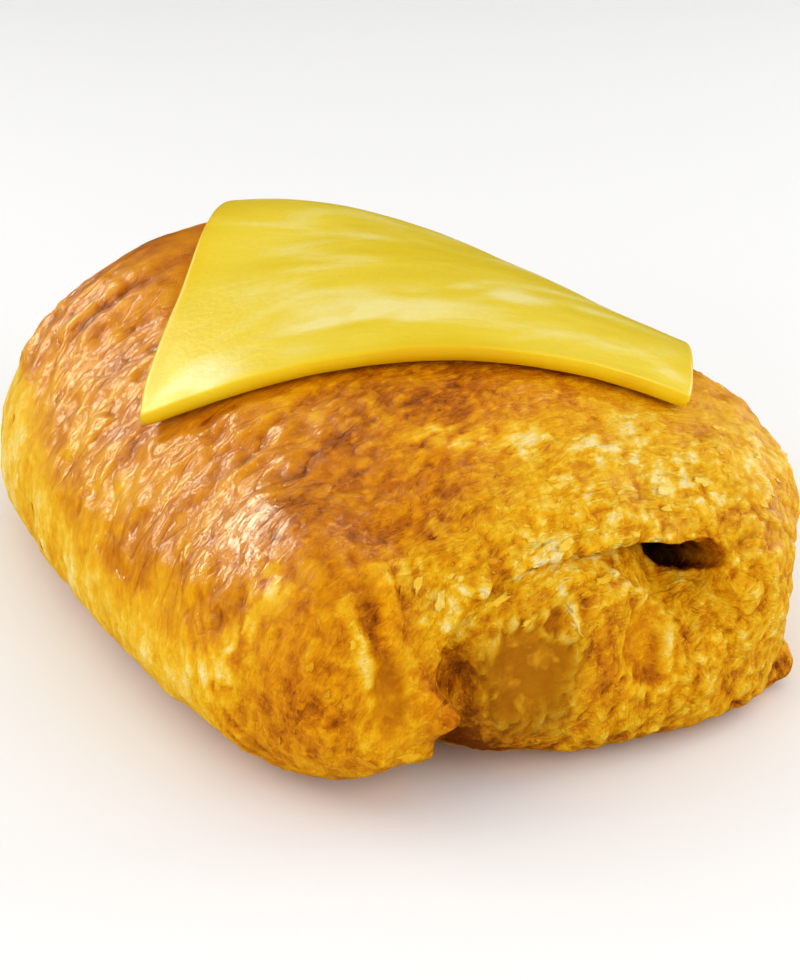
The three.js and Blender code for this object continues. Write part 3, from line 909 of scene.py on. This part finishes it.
def pastry_material():
    m = Nodes("pastry_crust")
    roll = m.vector("roll")
    place = m.add("ShaderNodeTexCoord").outputs["Object"]
    glazed = m.value("glazed")
    flaky = m.value("flaky")
    smooth = m.value("smooth")
    gloss = m.value("gloss")
    lines = m.noise(m.stretch(roll, (0.09, 0.21, 0.21)), 1.0, 1.2, 0.5, 0.3)
    threads = m.noise(m.stretch(roll, (0.55, 1.3, 1.3)), 1.0, 3.0, 0.6, 0.4)
    grain = m.noise(place, 1100.0, 4.0, 0.65)
    lumps = m.noise(place, 320.0, 3.0, 0.55, 0.5)
    crumbs = m.cells(place, 700.0)
    pores = m.cells(place, 400.0)
    # the glaze is puffed up between creases, where the drawn-out noise crosses its middle
    puffed = m.off_middle(lines)
    groove = m.span(puffed, 0.0, 0.035, 1.0, 0.0)
    wrinkled = m.value("wrinkled")
    hair = m.span(m.off_middle(threads), 0.0, 0.05, 1.0, 0.0)
    pore = m.span(pores, 0.08, 0.24, 1.0, 0.0)
    # leaves of crust end in a lip painted pale as if lit, with a painted shadow under it
    layers = m.noise(m.stretch(roll, (0.075, 0.19, 0.19)), 1.0, 3.0, 0.6, 0.9)
    leaf = m.math("FRACT", m.math("MULTIPLY", layers, 9.0))
    lip = m.math("MULTIPLY", m.span(leaf, 0.78, 0.96), flaky)
    shadow = m.math("MULTIPLY", m.span(leaf, 0.14, 0.0), flaky)
    # raised lumps are painted lighter and the dips between them darker, as painted light and
    # shade, less on glaze and smooth parts
    lumpy = m.span(m.math("MAXIMUM", glazed, smooth), 0, 1, 1.0, 0.4)
    bake_and_shading = m.math("MULTIPLY_ADD", m.span(lumps, 0.3, 0.7, 0.16, -0.16), lumpy, m.value("bake_and_shading"))
    bake_and_shading = m.math("MULTIPLY_ADD", m.span(grain, 0.3, 0.7, 1.0, -1.0),
                  m.span(flaky, 0, 1, 0.04, 0.08), bake_and_shading)
    bake_and_shading = m.math("ADD", bake_and_shading, m.span(threads, 0.3, 0.7, 0.05, -0.05))
    # painted shade darkens the creases between the glaze's puffs
    bake_and_shading = m.plus(bake_and_shading, 0.12, groove, wrinkled)
    bake_and_shading = m.plus(bake_and_shading, 0.05, hair, m.span(glazed, 0, 1, 1.0, 0.5))
    bake_and_shading = m.plus(bake_and_shading, 0.12, pore, flaky)
    bake_and_shading = m.plus(m.plus(bake_and_shading, 0.20, shadow), -0.15, lip)
    # thin cracks run through the brightest glaze
    veins = m.noise(m.stretch(roll, (0.22, 0.50, 0.50)), 1.0, 2.0, 0.5, 0.8)
    vein = m.span(m.off_middle(veins), 0.0, 0.05, 1.0, 0.0)
    crack = m.math("MULTIPLY", vein, m.span(gloss, 0.30, 0.60))
    bake_and_shading = m.plus(bake_and_shading, 0.15, crack)
    color = m.ramp(bake_and_shading, BAKED)
    color = m.mix(m.value("orange"), color, GLAZE_TINT, "MULTIPLY")
    bare = m.ramp(m.math("ADD", m.span(pores, 0.05, 0.3, 0.22, 0.0), lumps), BARE)
    color = m.mix(m.math("MULTIPLY", m.value("olive"), 0.75), color, bare)
    # painted shade deep in the pocket
    color = m.mix(m.value("pocket_shade"), color, POCKET_SHADE_COLOR)
    # the lacquer's coat follows the wrinkles alone, and is calmest where it is brightest
    height = m.math("MULTIPLY", threads, m.span(glazed, 0, 1, 0.28, 0.05))
    height = m.plus(height, 0.70, puffed, m.span(wrinkled, 0, 1, 0.1, 1.0))
    height = m.plus(height, -0.05, hair)
    height = m.plus(height, -0.07, groove, wrinkled)
    calm = m.span(gloss, 0.40, 0.90, 1.0, 0.35)
    lacquer = m.bump(m.math("MULTIPLY", height, calm), CRUST_BUMP)
    height = m.plus(height, 1.1, lumps, flaky)
    height = m.plus(height, -0.22, crumbs, flaky)
    height = m.plus(height, 0.32, leaf, flaky)
    height = m.math("MULTIPLY_ADD", grain, m.span(flaky, 0, 1, 0.03, 0.20), height)
    height = m.math("MULTIPLY", height, m.span(smooth, 0, 1, 1.0, 0.3))
    normal = m.bump(height, CRUST_BUMP)
    rough = m.math("ADD", m.span(glazed, 0, 1, 0.5, 0.36), m.span(grain, 0.3, 0.7, -0.06, 0.08))
    m.set(Base_Color=color, Roughness=rough, Normal=normal)
    m.set(Subsurface_Weight=0.06, Subsurface_Radius=(1.0, 0.45, 0.12), Subsurface_Scale=0.0015)
    m.set(Specular_IOR_Level=0.05)
    spots = m.math("MULTIPLY", flaky, m.span(m.noise(place, 170.0, 2.0), 0.48, 0.62, 0.03, 0.30))
    coat = m.math("MULTIPLY", m.math("MAXIMUM", gloss, spots), m.span(crack, 0, 1, 1.0, 0.35))
    m.set(Coat_Weight=coat, Coat_Roughness=0.12, Coat_Normal=lacquer)
    return m.material


def flake_material():
    m = Nodes("pastry_flake")
    place = m.add("ShaderNodeTexCoord").outputs["Object"]
    grain = m.noise(place, 900.0, 3.0, 0.6)
    # the flake's colour value, with the painted shade and light of the crust under it
    bake_and_shading = m.math("ADD", m.value("tone"), m.span(grain, 0.3, 0.7, 0.1, -0.1))
    m.set(Base_Color=m.ramp(bake_and_shading, BAKED), Roughness=m.span(grain, 0.3, 0.7, 0.4, 0.55),
          Normal=m.bump(grain, 0.0003, 0.8))
    m.set(Subsurface_Weight=0.1, Subsurface_Radius=(1.0, 0.6, 0.2), Subsurface_Scale=0.001)
    m.set(Specular_IOR_Level=0.1, Coat_Weight=0.28, Coat_Roughness=0.2)
    return m.material


def cheese_material():
    m = Nodes("cheese_surface")
    flat = m.vector("slice")
    rim = m.value("rim")
    cloud = m.noise(m.stretch(flat, (1.0, 2.2, 1.0)), 0.035, 3.0, 0.5, 0.6)
    speck = m.noise(flat, 0.9, 4.0, 0.55)
    # the rim is painted shade and light through the edge; the pale clouds are partly the slice's
    # own mottling and partly painted highlight streaks
    tone = m.math("ADD", m.math("MULTIPLY", rim, 0.55), m.span(cloud, 0.35, 0.65, -0.20, 0.16))
    tone = m.math("ADD", tone, m.span(speck, 0.3, 0.7, -0.03, 0.03))
    # pale patches of painted glare, standing in for soft highlights
    tone = m.plus(tone, -0.48, m.value("painted_glare"))
    color = m.ramp(m.math("ADD", tone, 0.3), CHEESE)
    height = m.plus(m.noise(flat, 0.25, 3.0, 0.5), 0.3, speck)
    m.set(Base_Color=color, Roughness=m.span(speck, 0.3, 0.7, 0.33, 0.42),
          Normal=m.bump(height, 0.0005, 0.35))
    m.set(Subsurface_Weight=0.25, Subsurface_Radius=(1.0, 0.7, 0.15), Subsurface_Scale=0.0025)
    m.set(Specular_IOR_Level=0.19)
    return m.material


def floor_material():
    m = Nodes("pale_floor")
    place = m.add("ShaderNodeTexCoord").outputs["Object"]
    m.set(Base_Color=m.ramp(m.noise(place, 3.0, 2.0, 0.5), FLOOR), Roughness=0.7)
    return m.material


# ---- the object -----------------------------------------------------------------------

pastry_piece, *crust = make_pastry()
pastry_piece.data.materials.append(pastry_material())
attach(pastry_piece, "root")
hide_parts("pastry_roll")

flakes_piece = make_flakes(*crust)
flakes_piece.data.materials.append(flake_material())
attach(flakes_piece, "root")

cheese_piece = make_cheese()
cheese_piece.data.materials.append(cheese_material())
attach(cheese_piece, "root")
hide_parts("cheese_slice")

# ---- the studio -----------------------------------------------------------------------

scene = bpy.context.scene
scene.view_settings.view_transform = "Standard"

FLOOR_REACH = 40                # metres, so that no view shows an edge
floor = add_mesh("floor", [(x * FLOOR_REACH, y * FLOOR_REACH, 0)
                           for x, y in ((-1, -1), (1, -1), (1, 1), (-1, 1))], [(0, 1, 2, 3)])
floor.data.materials.append(floor_material())

WORLD_STRENGTH = 0.72
world = bpy.data.worlds.new("studio")
world.use_nodes = True
background = world.node_tree.nodes["Background"].inputs
background["Color"].default_value = (1.0, 1.0, 1.0, 1)
background["Strength"].default_value = WORLD_STRENGTH
scene.world = world
world.cycles_visibility.glossy = False
floor.visible_glossy = False

LIGHTS_AIM = Vector((0, 0, 0.03))

# Name, place, size, power in watts and tint. The soft lights, for the colour, are left out of the
# reflections, and the glints, for the glaze's highlights, are seen only in them.
SOFT_LIGHTS = [
    ("overhead", (0, 0, 1.5), (3.0, 3.0), 3.0, (1, 1, 1)),
    ("key", (-0.48, 0.44, 0.44), (0.55, 0.30), 1.2, (1.0, 0.98, 0.96)),
    ("fill", (0.35, -0.80, 0.35), (0.9, 0.8), 2.9, (1, 1, 1)),
    ("fill_left", (-0.85, -0.25, 0.25), (0.5, 0.5), 2.0, (1, 1, 1)),
    ("side", (0.8, -0.1, 0.4), (0.5, 0.5), 1.5, (1, 1, 1))]
GLINT_LIGHTS = [
    ("glint_back", (-0.24, 0.70, 0.37), (0.42, 0.28), 4.4, (1.0, 0.95, 0.70)),
    ("glint_top", (0.42, 0.03, 0.65), (0.50, 0.45), 3.7, (1.0, 0.93, 0.66)),
    ("glint_left", (-0.55, 0.62, 0.30), (0.20, 0.22), 2.3, (1.0, 0.97, 0.80)),
    ("glint_side", (0.80, 0.15, 0.15), (0.30, 0.40), 2.2, (1, 1, 1))]


def area_light(name, at, size, power, tint):
    data = bpy.data.lights.new(name, "AREA")
    data.shape = "RECTANGLE"
    data.size, data.size_y = size
    data.energy = power
    data.color = tint
    light = bpy.data.objects.new(name, data)
    aim = (LIGHTS_AIM - Vector(at)).to_track_quat("-Z", "Y")
    light.matrix_world = Matrix.Translation(at) @ aim.to_matrix().to_4x4()
    scene.collection.objects.link(light)
    return light


for soft in SOFT_LIGHTS:
    area_light(*soft).visible_glossy = False
for glint in GLINT_LIGHTS:
    area_light(*glint).visible_diffuse = False

# The camera looks from azimuth -30 degrees and 24 degrees up, 335 mm from the roll's middle.
AZIMUTH, ELEVATION = np.radians(-30), np.radians(24)
CAMERA_AT = (-146.1, -269.8, 152.5)
LENS, SENSOR_WIDTH, CLIP_START = 73.47, 36, 0.01
back = Vector((np.sin(AZIMUTH) * np.cos(ELEVATION), -np.cos(AZIMUTH) * np.cos(ELEVATION),
               np.sin(ELEVATION)))
right = Vector((np.cos(AZIMUTH), np.sin(AZIMUTH), 0))
up = back.cross(right)
camera_data = bpy.data.cameras.new("camera")
camera_data.lens = LENS
camera_data.sensor_width = SENSOR_WIDTH
camera_data.clip_start = CLIP_START
camera = bpy.data.objects.new("camera", camera_data)
turned = Matrix((right, up, back)).transposed().to_quaternion()
camera.matrix_world = Matrix.LocRotScale(Vector(to_row(CAMERA_AT)), turned, None)
scene.collection.objects.link(camera)
scene.camera = camera
